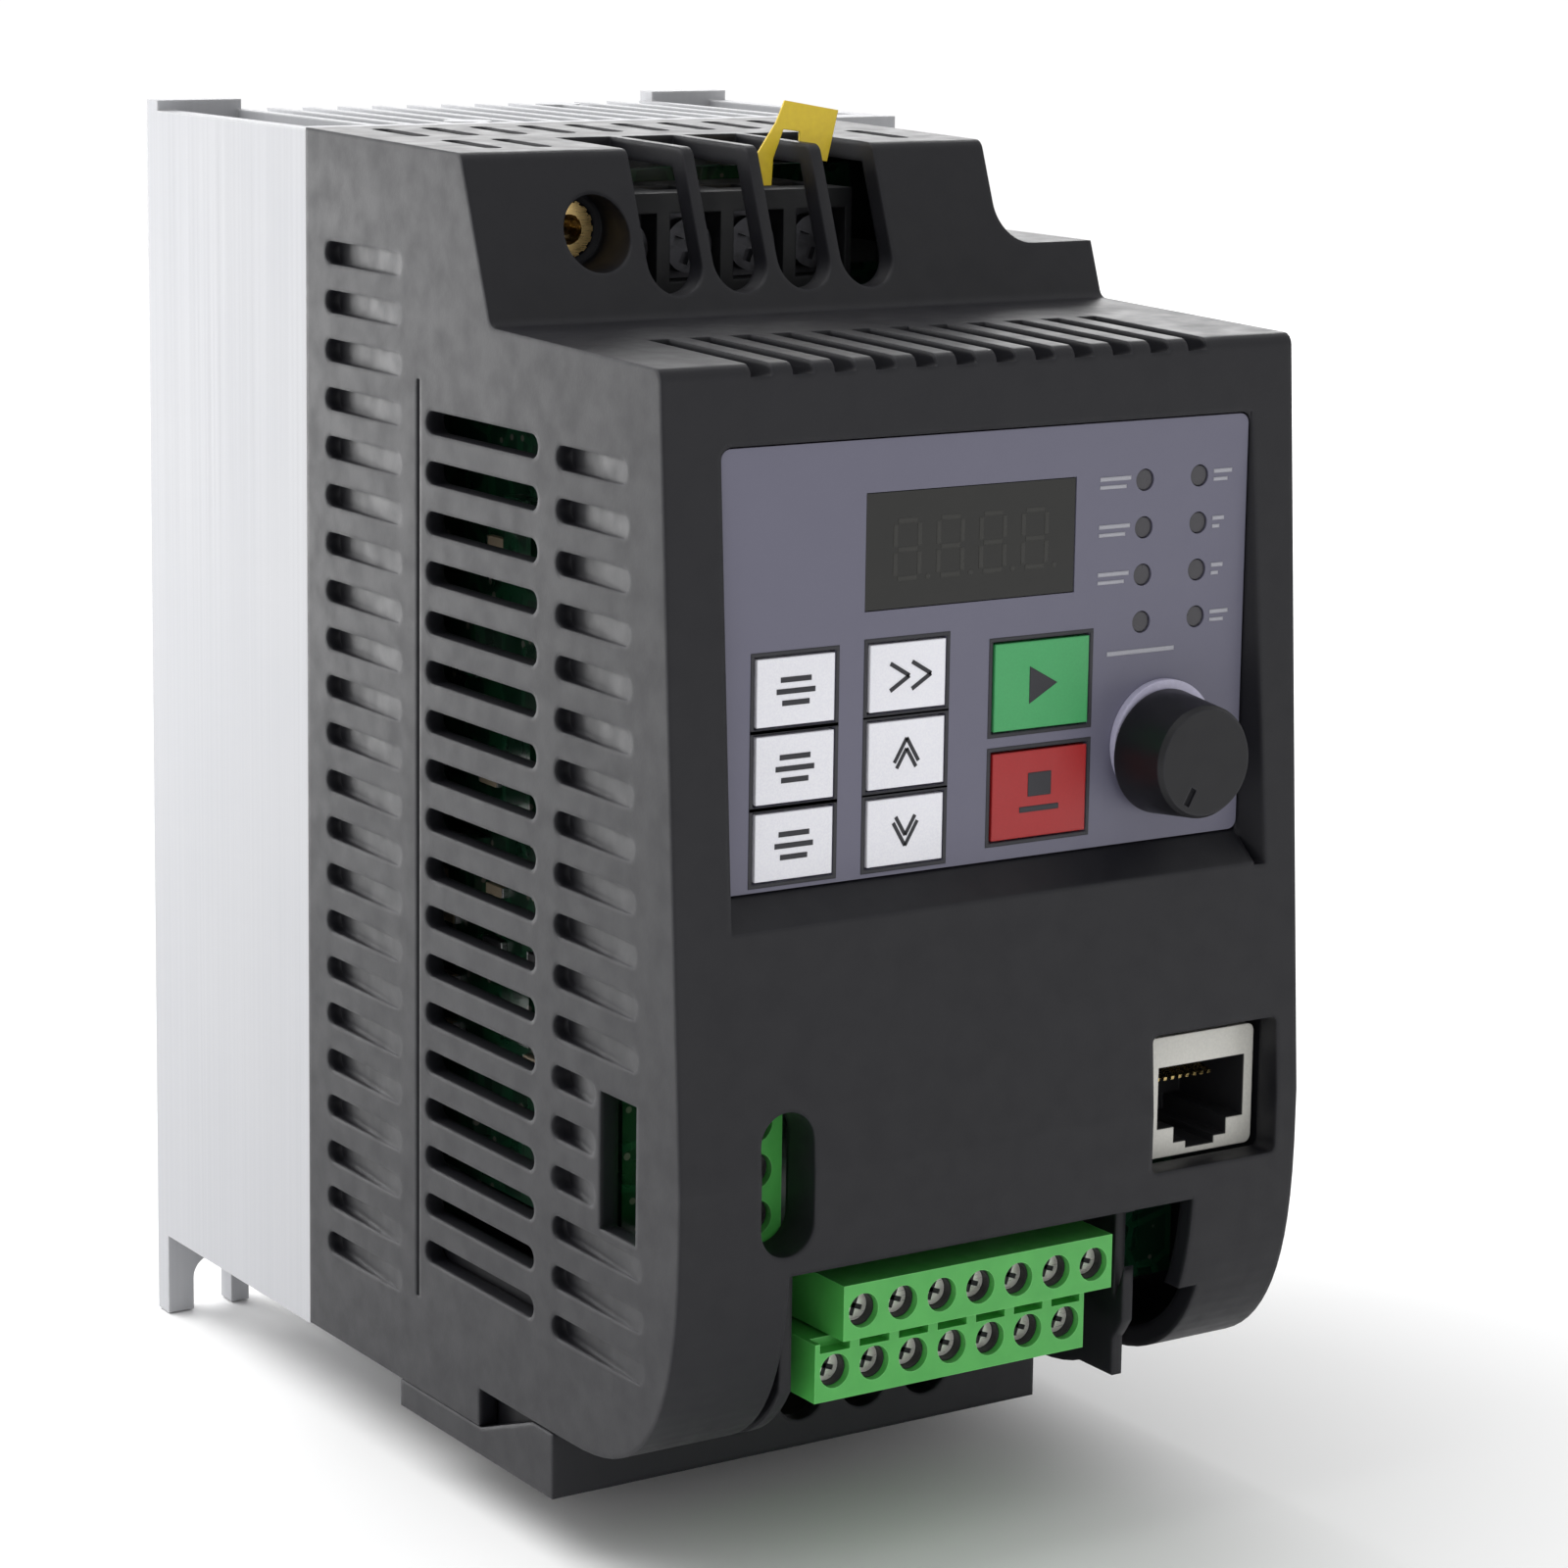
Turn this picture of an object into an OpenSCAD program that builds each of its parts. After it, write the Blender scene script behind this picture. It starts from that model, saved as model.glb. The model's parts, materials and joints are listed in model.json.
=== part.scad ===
// Variable frequency drive for wall or cabinet mounting.
// X runs to the right, the front faces -Y and Z points up. The origin is the centre of the back mounting plane.
// "Depth" in the comments is the distance in front of that plane, so a depth of 40 lies at y = -40.

/* [Body] */
// Width of the drive
body_w = 80; // [79:0.5:82]
// Depth of the aluminium heatsink
sink_d = 41.6; // [41:0.2:42]
// Thickness of the plastic walls
wall = 2.2; // [1.8:0.1:2.4]
// Outward lean of the front face, in mm of depth per mm of height
lean = 0.064; // [0.05:0.002:0.07]

/* [Heatsink] */
// Number of cooling fins
fin_count = 13; // [9:2:15]
// Thickness of one fin
fin_t = 1.4; // [1:0.1:1.8]
// Half the distance between the left and right mounting screws
mount_x = 34; // [33.6:0.1:34.2]
// Half-width of the open mounting slots at the bottom
slot_r = 2.6; // [2.2:0.1:2.8]

/* [Side vents] */
// Distance from one side slot to the next
vent_pitch = 5.45; // [5.4:0.01:5.5]
// Height of a side slot
vent_h = 2.6; // [2:0.1:3]
// Number of slots in the rear column
rear_vents = 22; // [18:1:22]
// Number of slots in each of the two other columns
main_vents = 18; // [14:1:18]

/* [Keypad] */
// Travel of a key
key_travel = 0.5; // [0.3:0.1:0.7]
// Gap round a key
key_gap = 0.25; // [0.2:0.05:0.4]
// Radius of the speed knob at its front
knob_r = 6.1; // [5.6:0.1:6.2]
// Height of the speed knob above its collar
knob_h = 7.2; // [6:0.2:9]

/* [Terminals] */
// Distance between the control terminals
small_pitch = 5; // [4.8:0.05:5]
// Distance between the power terminals
power_pitch = 8.3; // [8:0.1:8.4]

/* [Hidden] */
$fn = 40;

// A hair of extra length that lets a cut run clean through a face
over = 0.5;
// A depth beyond the whole drive, where cuts from the front may start
beyond = 130;
// Slack between parts that are only laid against each other
slack = 0.05;

// --- Heatsink ---
half_w = body_w / 2;
sink_top = 74.3;
sink_bottom = -65;
sink_wall = 2.5;
sink_base = 5;
foot_w = 11;
foot_t = 3;
foot_top = 75.5;
foot_bottom = -75;
keyhole_z = 70;
foot_slot_z = -71;
keyhole_neck_r = 2.2;
keyhole_head_r = 3.8;
keyhole_drop = 8;
fin_span = 28.8;
fin_tip = 1.2;

// --- Fan bay, at the bottom of the heatsink ---
fan_size = 35;
fan_t = 10;
fan_d = 18.4;
fan_z = -64.7;
fan_bore_r = 16.2;
fan_hole = 14.5;
fan_hub_r = 8.5;
fan_shaft_r = 1.5;

// --- Side outline of the plastic body, as depth and height ---
top_back_z = 74.5;
top_front = [77.2, 73.8];
slant_foot = [83.8, 56];
shelf_front = [117.7, 55.1];
curve_top_z = -28;
curve_d = 100;
curve_h = 32.5;
lip_back_d = 82;
back_bottom_z = -64.8;
front_bottom_z = curve_top_z - curve_h;
curve_front_d = shelf_front[0] + lean * (shelf_front[1] - curve_top_z);

// --- Side vents: depths where each column starts and ends, and the height of its first slot ---
mid_vent_d = [69.7, 93.8];
mid_vent_z = 44.6;

// --- Right shoulder, seen from the front ---
shoulder_x = 27.3;
shoulder_z = 62.3;
shoulder_r = 4.5;

// --- Boards ---
power_d = 54;
board_t = 1.6;
power_front = power_d + board_t;
control_d = 104.4;
control_front = control_d + board_t;
keypad_d = 108;
keypad_front = keypad_d + board_t;
driver_x = -31.8;

// --- Terminals ---
supply_x = [for (i = [0:3]) -16.1 + power_pitch * i];
motor_x = [for (i = [0:4]) -24.9 + power_pitch * i];
supply_z = 62.5;
motor_z = -56;
supply_front = 72.5;
supply_slot_r = 3.5;
slot_reach = 95;
motor_front = 78;
upper_row = [-18.5, -44.4, 121];
lower_row = [-21, -51, 119.5];
small_poles = 7;
relay_x = -27;
relay_z = -28.7;
relay_front = 117;
relay_slot_x = -26.9;
earth_at = [-25.1, 65.1];
earth_d = [66.4, 74.3];
earth_r = 2.9;

// --- Terminal housing below the cover ---
base_back = 64;
base_front = 98;
base_bottom = -68;
base_right = 23.5;
base_wall = 2;

// --- Keypad ---
panel_front = 118;
panel_t = 2;
panel_x = [-33, 34.2];
panel_z = [1.1, 46.8];
display_x = [-15.3, 11.2];
display_z = [29.1, 41.2];
led_x = [20.35, 27.7];
led_z = [40.4, 35.3, 30.2, 25.1];
led_r = 1.1;
knob_x = 23;
knob_z = 11;
collar_t = 0.9;
collar_r = 6.7;
white_key = [9.4, 7];
command_key = [12.2, 9.3];
menu_at = [-23.8, 21.7];
enter_at = [-23.8, 13.7];
reverse_at = [-23.8, 5.7];
shift_at = [-10, 22];
up_at = [-10, 13.85];
down_at = [-10, 5.7];
run_at = [7.2, 19.6];
stop_at = [7.2, 7.9];
keys = [
    [menu_at, white_key], [enter_at, white_key], [reverse_at, white_key], [shift_at, white_key],
    [up_at, white_key], [down_at, white_key], [run_at, command_key], [stop_at, command_key]];
switch_front = 113;
switch_floor = keypad_front + 0.8;
switch_bore_r = 1.8;
key_rise = 0.2;
shaft_r = 3;

// --- Opening over the control terminals ---
window_top = -38.5;
right_rib_x = [19.6, 20.9];
rib_d = [107, 122];

// --- Data socket ---
socket_x = [22.2, 37];
socket_z = [-34.6, -21];
socket_front = 118.9;
plug_x = (socket_x[0] + socket_x[1]) / 2 + 0.25;

// ---------------------------------------------------------------- helpers

// A drawing of depth against height, made w wide and centred on x = at
module across(w, at = 0) {
    translate([at, 0, 0])
        rotate([90, 0, -90])
            linear_extrude(w, center = true) children();
}

// A drawing of width against height, made solid from depth d0 to depth d1
module slab(d0, d1) {
    translate([0, -d0, 0])
        rotate([90, 0, 0])
            linear_extrude(d1 - d0) children();
}

// A drawing of width against depth, made solid from height z0 to height z1
module plate(z0, z1) {
    translate([0, 0, z0])
        linear_extrude(z1 - z0)
            mirror([0, 1]) children();
}

// A box from its ranges in width, depth and height
module block(x, d, z) {
    translate([x[0], -d[1], z[0]])
        cube([x[1] - x[0], d[1] - d[0], z[1] - z[0]]);
}

// A round bar along the depth
module bar(x, z, r, d0, d1) {
    translate([x, -d0, z])
        rotate([90, 0, 0])
            cylinder(r = r, h = d1 - d0);
}

// A rectangle with round ends, long in X
module stadium(length, height) {
    square([length - height, height], center = true);
    for (side = [-1, 1])
        translate([side * (length - height) / 2, 0]) circle(height / 2);
}

// A rectangle from its ranges, with corners of radius r
module soft_square(x, z, r) {
    translate([x[0] + r, z[0]]) square([x[1] - x[0] - 2 * r, z[1] - z[0]]);
    translate([x[0], z[0] + r]) square([x[1] - x[0], z[1] - z[0] - 2 * r]);
    for (cx = [x[0] + r, x[1] - r], cz = [z[0] + r, z[1] - r])
        translate([cx, cz]) circle(r);
}

// A pan-head screw along the depth, its head in front, with a cross recess
module screw(x, z, head_r, head_h, shaft_radius, d_tip, d_seat) {
    recess = head_r * 0.36;
    difference() {
        union() {
            bar(x, z, shaft_radius, d_tip, d_seat);
            bar(x, z, head_r, d_seat, d_seat + head_h);
        }
        for (turn = [20, 110])
            translate([x, -d_seat - head_h, z])
                rotate([0, turn, 0])
                    cube([head_r * 1.4, head_h, recess], center = true);
    }
}

// The range that reaches r to each side of c
function around(c, r) = [c - r, c + r];

// ---------------------------------------------------------------- heatsink and fan

module foot(side) {
    x_out = side * half_w;
    x_in = side * (half_w - foot_w);
    difference() {
        block([min(x_out, x_in), max(x_out, x_in)], [0, foot_t], [foot_bottom, foot_top]);
        // Keyhole at the top, narrow end up
        bar(side * mount_x, keyhole_z, keyhole_neck_r, -over, foot_t + over);
        bar(side * mount_x, keyhole_z - keyhole_drop, keyhole_head_r, -over, foot_t + over);
        block(around(side * mount_x, keyhole_neck_r),
            [-over, foot_t + over], [keyhole_z - keyhole_drop, keyhole_z]);
        // Slot at the bottom, open downwards
        bar(side * mount_x, foot_slot_z, slot_r, -over, foot_t + over);
        block(around(side * mount_x, slot_r),
            [-over, foot_t + over], [foot_bottom - over, foot_slot_z]);
    }
}

module heatsink() {
    fin_pitch = 2 * fin_span / (fin_count - 1);
    color("gainsboro")
    difference() {
        union() {
            block([-half_w, half_w], [sink_d - sink_base, sink_d], [sink_bottom, sink_top]);
            for (side = [-1, 1]) {
                x = side > 0 ? [half_w - sink_wall, half_w] : [-half_w, sink_wall - half_w];
                block(x, [0, sink_d], [sink_bottom, sink_top]);
                foot(side);
            }
            for (i = [0:fin_count - 1])
                block(around(-fin_span + fin_pitch * i, fin_t / 2),
                    [fin_tip, sink_d - sink_base + slack], [sink_bottom, sink_top]);
            // Screw channels of the fan, along the whole extrusion
            for (side = [-1, 1])
                translate([side * fan_hole, side * fan_hole - fan_d, sink_bottom])
                    cylinder(r = 2.8, h = sink_top - sink_bottom);
        }
        // Fan bay
        block([-fan_size / 2 - 0.8, fan_size / 2 + 0.8], [-over, sink_d - sink_base],
            [sink_bottom - over, fan_z + fan_t]);
        for (side = [-1, 1])
            translate([side * fan_hole, side * fan_hole - fan_d, fan_z + fan_t - over])
                cylinder(r = 1.5, h = 8);
        // Keyhole heads need the foot alone, so the side wall is clear of them
        for (side = [-1, 1])
            bar(side * mount_x, keyhole_z - keyhole_drop, keyhole_head_r, -over, foot_t + 0.01);
        // Tapped holes
        for (x = [-20, 20]) bar(x, 7, 1.5, sink_d - 4, sink_d + over);
        for (p = standoff_at) bar(p[0], p[1], 1.5, sink_d - 4, sink_d + over);
        // Clearance holes of the cover screws
        for (p = boss_at) bar(p[0], p[1], 1.7, sink_d - sink_base - over, sink_d + over);
    }
}

module fan_frame() {
    arm_t = 1.5;
    bearing_r = 2.8;
    color("dimgray")
    translate([0, -fan_d, fan_z])
    difference() {
        translate([-fan_size / 2, -fan_size / 2, 0]) cube([fan_size, fan_size, fan_t]);
        // Air way, round the motor plate, its three arms and the bearing tube
        difference() {
            translate([0, 0, -over]) cylinder(r = fan_bore_r, h = fan_t + 2 * over);
            translate([0, 0, fan_t - arm_t]) cylinder(r = fan_hub_r, h = arm_t + 2 * over);
            for (turn = [45, 165, 285])
                rotate(turn) translate([2, -1, fan_t - arm_t]) cube([fan_size, 2, arm_t + 2 * over]);
            translate([0, 0, 2.6]) cylinder(r = bearing_r, h = fan_t);
        }
        translate([0, 0, -over]) cylinder(r = fan_shaft_r + 0.05, h = fan_t - 0.8 + over);
        for (x = [-1, 1], y = [-1, 1])
            translate([x * fan_hole, y * fan_hole, -over]) cylinder(r = 1.6, h = fan_t + 2 * over);
    }
}

module fan_rotor() {
    blade_count = 7;
    color("black")
    translate([0, -fan_d, fan_z]) {
        // Cup and shaft
        difference() {
            translate([0, 0, 0.7]) cylinder(r = fan_hub_r, h = 7);
            translate([0, 0, 1.8]) cylinder(r = fan_hub_r - 1.2, h = 7);
        }
        translate([0, 0, 1]) cylinder(r = fan_shaft_r, h = 7.8);
        intersection() {
            difference() {
                translate([0, 0, 0.9]) cylinder(r = fan_bore_r - 0.6, h = 6.6);
                cylinder(r = fan_hub_r - 0.4, h = fan_t);
            }
            union() {
                for (i = [0:blade_count - 1])
                    rotate(i * 360 / blade_count)
                        translate([0, 0, 4.2])
                            rotate([38, 0, 0])
                                translate([5, -6, -0.45]) cube([14, 12, 0.9]);
            }
        }
    }
}

module fan_guard() {
    guard_w = fan_size + 1;
    color("black")
    translate([0, -fan_d, fan_z - 1.5])
    difference() {
        union() {
            difference() {
                translate([-guard_w / 2, -guard_w / 2, 0]) cube([guard_w, guard_w, 1.3]);
                translate([0, 0, -over]) cylinder(r = fan_bore_r, h = 3);
            }
            for (r = [5, 9, 13])
                difference() {
                    cylinder(r = r + 0.6, h = 1.3);
                    translate([0, 0, -over]) cylinder(r = r - 0.6, h = 3);
                }
            cylinder(r = 2, h = 1.3);
            for (turn = [45, 135])
                rotate(turn) translate([-fan_bore_r - 0.5, -0.7, 0]) cube([2 * fan_bore_r + 1, 1.4, 1.3]);
        }
        for (x = [-1, 1], y = [-1, 1])
            translate([x * fan_hole, y * fan_hole, -over]) cylinder(r = 1.6, h = 3);
    }
}

module fan_screws() {
    color("silver")
    for (side = [-1, 1])
        translate([side * fan_hole, -fan_d + side * fan_hole, fan_z - 1.5]) {
            difference() {
                translate([0, 0, -1.4]) cylinder(r = 2.6, h = 1.4);
                for (turn = [0, 90])
                    rotate(turn) translate([-1.8, -0.4, -1.9]) cube([3.6, 0.8, 1.3]);
            }
            cylinder(r = 1.45, h = fan_t + 7.5);
        }
}

// ---------------------------------------------------------------- power stage

standoff_at = [[-32, -52], [32, -52], [-32, 62], [32, 52]];
boss_at = [[-34.8, -40], [34.8, -40], [-34.8, 44], [34.8, 38]];

module thermal_pad() {
    color("lightblue")
    difference() {
        block([-25, 25], [sink_d, sink_d + 0.4], [-8, 22]);
        for (x = [-20, 20]) bar(x, 7, 1.7, sink_d - over, sink_d + 1);
    }
}

module power_module() {
    color("black")
    difference() {
        union() {
            block([-24.5, 24.5], [sink_d + 0.4, sink_d + 5], [-7.5, 21.5]);
            block([-16, 16], [sink_d + 5, sink_d + 9], [-6.5, 20.5]);
            // Pin rows up to the power board
            for (x = [-14:4:14], z = [-5.6, 19.4])
                block([x - 0.5, x + 0.5], [sink_d + 9, power_d], [z - 0.4, z + 0.4]);
        }
        for (x = [-20, 20]) bar(x, 7, 1.7, sink_d, sink_d + 6);
    }
}

module module_screws() {
    color("silver")
        for (x = [-20, 20]) screw(x, 7, 2.8, 1.9, 1.45, sink_d - 3.8, sink_d + 5);
}

module board_standoffs() {
    color("goldenrod")
    for (p = standoff_at)
        difference() {
            union() {
                bar(p[0], p[1], 2.7, sink_d, power_d);
                bar(p[0], p[1], 1.45, sink_d - 3.8, sink_d + over);
            }
            bar(p[0], p[1], 1.5, power_d - 7, power_d + over);
        }
}

module board_screws() {
    color("silver")
        for (p = standoff_at) screw(p[0], p[1], 2.7, 1.8, 1.45, power_d - 6.5, power_front);
}

module power_board() {
    color("seagreen")
    difference() {
        slab(power_d, power_front)
            difference() {
                translate([-36, -60]) square([72, 130]);
                translate([shoulder_x - wall - 1, shoulder_z - wall - 2]) square([20, 20]);
            }
        for (p = standoff_at) bar(p[0], p[1], 1.6, power_d - over, power_front + over);
    }
}

module bus_capacitors() {
    color("midnightblue")
    for (x = [-11.5, 12])
        translate([x, -power_front, 27])
            rotate([90, 0, 0])
                difference() {
                    union() {
                        cylinder(r = 11, h = 40);
                        translate([0, 0, 2]) cylinder(r = 11.25, h = 2);
                    }
                    // Vent cross pressed into the lid
                    for (turn = [45, 135])
                        rotate(turn) translate([-6, -0.4, 39.4]) cube([12, 0.8, 1]);
                }
}

module transformer() {
    color("khaki") {
        block([6, 28], [power_front, power_front + 2], [-27, -9]);
        block([8, 26], [power_front + 2, power_front + 16], [-25, -11]);
    }
    color("dimgray")
        difference() {
            block([5, 29], [power_front + 4, power_front + 14], [-22, -14]);
            block([8, 26], [power_front + 2, power_front + 16], [-25, -11]);
        }
}

module inrush_relay() {
    color("royalblue")
        block([-24, -5], [power_front, power_front + 15], [-26, -10.5]);
}

module driver_board() {
    color("green") {
        block([driver_x, driver_x + board_t], [power_front + 1.4, 98.5], [-42, 44]);
        // Edge connector to the power board
        block([driver_x - 1, driver_x + board_t + 1], [power_front, power_front + 1.4], [-20, 20]);
    }
    color("black")
        for (i = [0:5])
            block([driver_x - 2.2, driver_x], [64 + (i % 2) * 12, 70 + (i % 2) * 12],
                around(i * 13 - 32, 4));
}

// A barrier block: one well per pole, each with a wire hole on the side that faces 'out'
module power_terminal_block(at, z, front, out) {
    first = at[0] - power_pitch / 2;
    last = at[len(at) - 1] + power_pitch / 2;
    half_h = 6;
    difference() {
        block([first, last], [power_front, front], [z - half_h, z + half_h]);
        for (x = at) {
            // Well of the screw and its clamp
            block([x - 3.3, x + 3.3], [front - 4, front + over], [z - 3.8, z + 3.8]);
            bar(x, z, 2, front - 11, front - 3.9);
            // Wire hole
            block([x - 2.6, x + 2.6], [front - 10, front - 4.6],
                out > 0 ? [z, z + half_h + over] : [z - half_h - over, z]);
        }
    }
}

module power_terminal_screws(at, z, front) {
    for (x = at) {
        screw(x, z, 3, 1.8, 1.9, front - 10, front - 3.2);
        // Square clamp washer under the head
        difference() {
            block([x - 3.2, x + 3.2], [front - 4, front - 3.2], [z - 3.7, z + 3.7]);
            bar(x, z, 1.95, front - 4.5, front - 3);
        }
    }
}

module supply_terminal_block() {
    color("darkslategray") power_terminal_block(supply_x, supply_z, supply_front, 1);
}

module supply_terminal_screws() {
    color("silver") power_terminal_screws(supply_x, supply_z, supply_front);
}

module motor_terminal_block() {
    color("darkslategray") power_terminal_block(motor_x, motor_z, motor_front, -1);
}

module motor_terminal_screws() {
    color("goldenrod") power_terminal_screws(motor_x, motor_z, motor_front);
}

// ---------------------------------------------------------------- housing

module terminal_base() {
    step_z = back_bottom_z - 0.15;
    lip_z = front_bottom_z - 0.3;
    inner_left = -half_w + wall + 0.3;
    color("dimgray")
    difference() {
        union() {
            // Floor
            block([-half_w, base_right], [base_back, base_front], [base_bottom, base_bottom + base_wall]);
            // Left skirt, flush with the cover, with the ramp of the pry notch
            across(base_wall, -half_w + base_wall / 2)
                polygon([
                    [base_back, base_bottom], [base_front, base_bottom], [base_front, lip_z],
                    [lip_back_d + 11.5, lip_z], [lip_back_d + 0.3, step_z], [base_back, step_z]]);
            // Inner walls
            block([inner_left, inner_left + base_wall], [base_back + 2, base_front], [base_bottom, -46]);
            block([base_right - base_wall, base_right], [base_back, base_front], [base_bottom, -50]);
            block([inner_left, base_right], [base_front - base_wall, base_front], [base_bottom, -50]);
            block([-half_w, inner_left + 1], [base_front - base_wall, base_front], [base_bottom, lip_z]);
            // Legs that carry the board carrier
            for (x = [-34, 18])
                block([x, x + 5], [base_front - base_wall, 100], [-55, -50]);
        }
        for (x = motor_x) {
            // Wire holes in the floor
            block([x - 3, x + 3], [base_back + 2.5, base_back + 10.5],
                [base_bottom - over, base_bottom + base_wall + over]);
            // Screwdriver windows in the front wall
            slab(base_front - base_wall - over, base_front + over)
                translate([x, -50])
                    rotate(90) translate([-6, 0]) stadium(18, 6.4);
        }
    }
}

// The arc of radius r that rounds corner b of the path a, b, c
function arc(a, b, c, r) =
    let (u = (a - b) / norm(a - b), v = (c - b) / norm(c - b), half = acos(u * v) / 2)
    let (centre = b + (u + v) / norm(u + v) * r / sin(half), reach = r / tan(half))
    [for (k = [0:0.25:1])
        let (chord = (b + u * reach) * (1 - k) + (b + v * reach) * k - centre)
        centre + chord / norm(chord) * r];

// Top of the side outline, from the back to the front edge of the shelf
function top_path(t) = t > 0
    ? [[sink_d - 1, top_back_z - t], [top_front[0] - t * 0.85, top_front[1] - t],
       [slant_foot[0] - t * 0.9, slant_foot[1] - t], [shelf_front[0] - t, shelf_front[1] - t]]
    : concat(
        [[sink_d, top_back_z]],
        arc([sink_d, top_back_z], top_front, slant_foot, 1.4),
        arc(top_front, slant_foot, shelf_front, 1.2),
        arc(slant_foot, shelf_front, [curve_front_d, curve_top_z], 1.3));

// Side outline of the body, grown inwards by t
module side_outline(t) {
    polygon(concat(
        top_path(t),
        [for (a = [0:4.5:90])
            [curve_d + (curve_front_d - curve_d - t) * pow(cos(a), 2 / 3),
             curve_top_z - (curve_h - t) * pow(sin(a), 2 / 3)]],
        t > 0
            ? [[base_front + 0.4, front_bottom_z + t], [base_front + 0.4, back_bottom_z - 5],
               [base_back - 0.3, back_bottom_z - 5], [base_back - 0.3, back_bottom_z + t],
               [sink_d - 1, back_bottom_z + t]]
            : [[lip_back_d, front_bottom_z], [lip_back_d, back_bottom_z], [sink_d, back_bottom_z]]));
}

// Front outline of the body with its low right shoulder, grown inwards by t
module front_outline(t) {
    x0 = -half_w + t;
    centre = [shoulder_x + shoulder_r, shoulder_z + shoulder_r];
    translate([x0, -80]) square([shoulder_x - t - x0, 160]);
    translate([x0, -80]) square([half_w - t - x0, 80 + shoulder_z - t]);
    difference() {
        translate([shoulder_x - t - 0.1, shoulder_z - t - 0.1])
            square(shoulder_r + t + 0.1);
        translate(centre) circle(shoulder_r + t, $fn = 64);
    }
}

module body_shape(t) {
    intersection() {
        across(body_w - 2 * t) side_outline(t);
        slab(sink_d - 2, beyond) front_outline(t);
    }
}

// The middle column of side slots, cut straight through the wall
module through_slots(side) {
    for (i = [0:main_vents - 1])
        translate([side * half_w, -(mid_vent_d[0] + mid_vent_d[1]) / 2, mid_vent_z - vent_pitch * i])
            rotate([0, 90, 0])
                linear_extrude(8, center = true)
                    rotate(90) stadium(mid_vent_d[1] - mid_vent_d[0], vent_h);
}

// A ramped pocket: deepest at its rear end, level with the wall at its front end
module ramp_pocket(side, d0, d1, z, depth) {
    length = d1 - d0;
    tilt = atan(depth / length);
    translate([side * (half_w - depth), -d0 - vent_h / 2, z])
        rotate([0, 0, side * tilt])
            translate([0, -(length - vent_h) / 2, 0])
                rotate([0, side * 90, 0])
                    linear_extrude(depth + 2)
                        rotate(90) stadium(length + vent_h, vent_h);
}

module pocket_column(side, d0, d1, z_top, count, short_rows, short_end) {
    for (i = [0:count - 1]) {
        is_short = len(search(i, short_rows)) > 0;
        end = is_short ? short_end : d1[0] + (d1[1] - d1[0]) * i / (count - 1);
        ramp_pocket(side, d0, end, z_top - vent_h / 2 - vent_pitch * i, 1.4);
    }
}

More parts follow.
